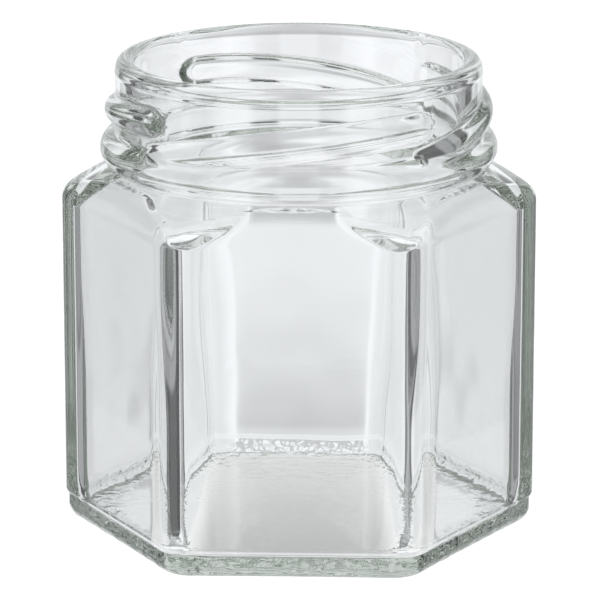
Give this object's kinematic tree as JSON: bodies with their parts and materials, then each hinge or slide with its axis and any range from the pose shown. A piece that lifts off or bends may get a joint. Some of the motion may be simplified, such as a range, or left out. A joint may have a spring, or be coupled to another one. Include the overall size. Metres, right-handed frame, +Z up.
{
  "type": "hexagonal glass jar",
  "caption": "Small empty hexagonal glass jar with rounded corners, a sloping shoulder and a round screw mouth with short raised lugs, open at the top.",
  "frame": {"origin": "middle of the base, on the surface the jar stands on", "axes": "+Z up through the mouth, one flat panel faces -Y, two corners lie on the X axis"},
  "size_m": [0.0522, 0.046, 0.0525],
  "materials": {
    "clear_glass": "polished clear glass with a faint grey-green tint in the thick edges"
  },
  "bodies": {
    "root": {"jar": "clear_glass"}
  },
  "joints": []
}
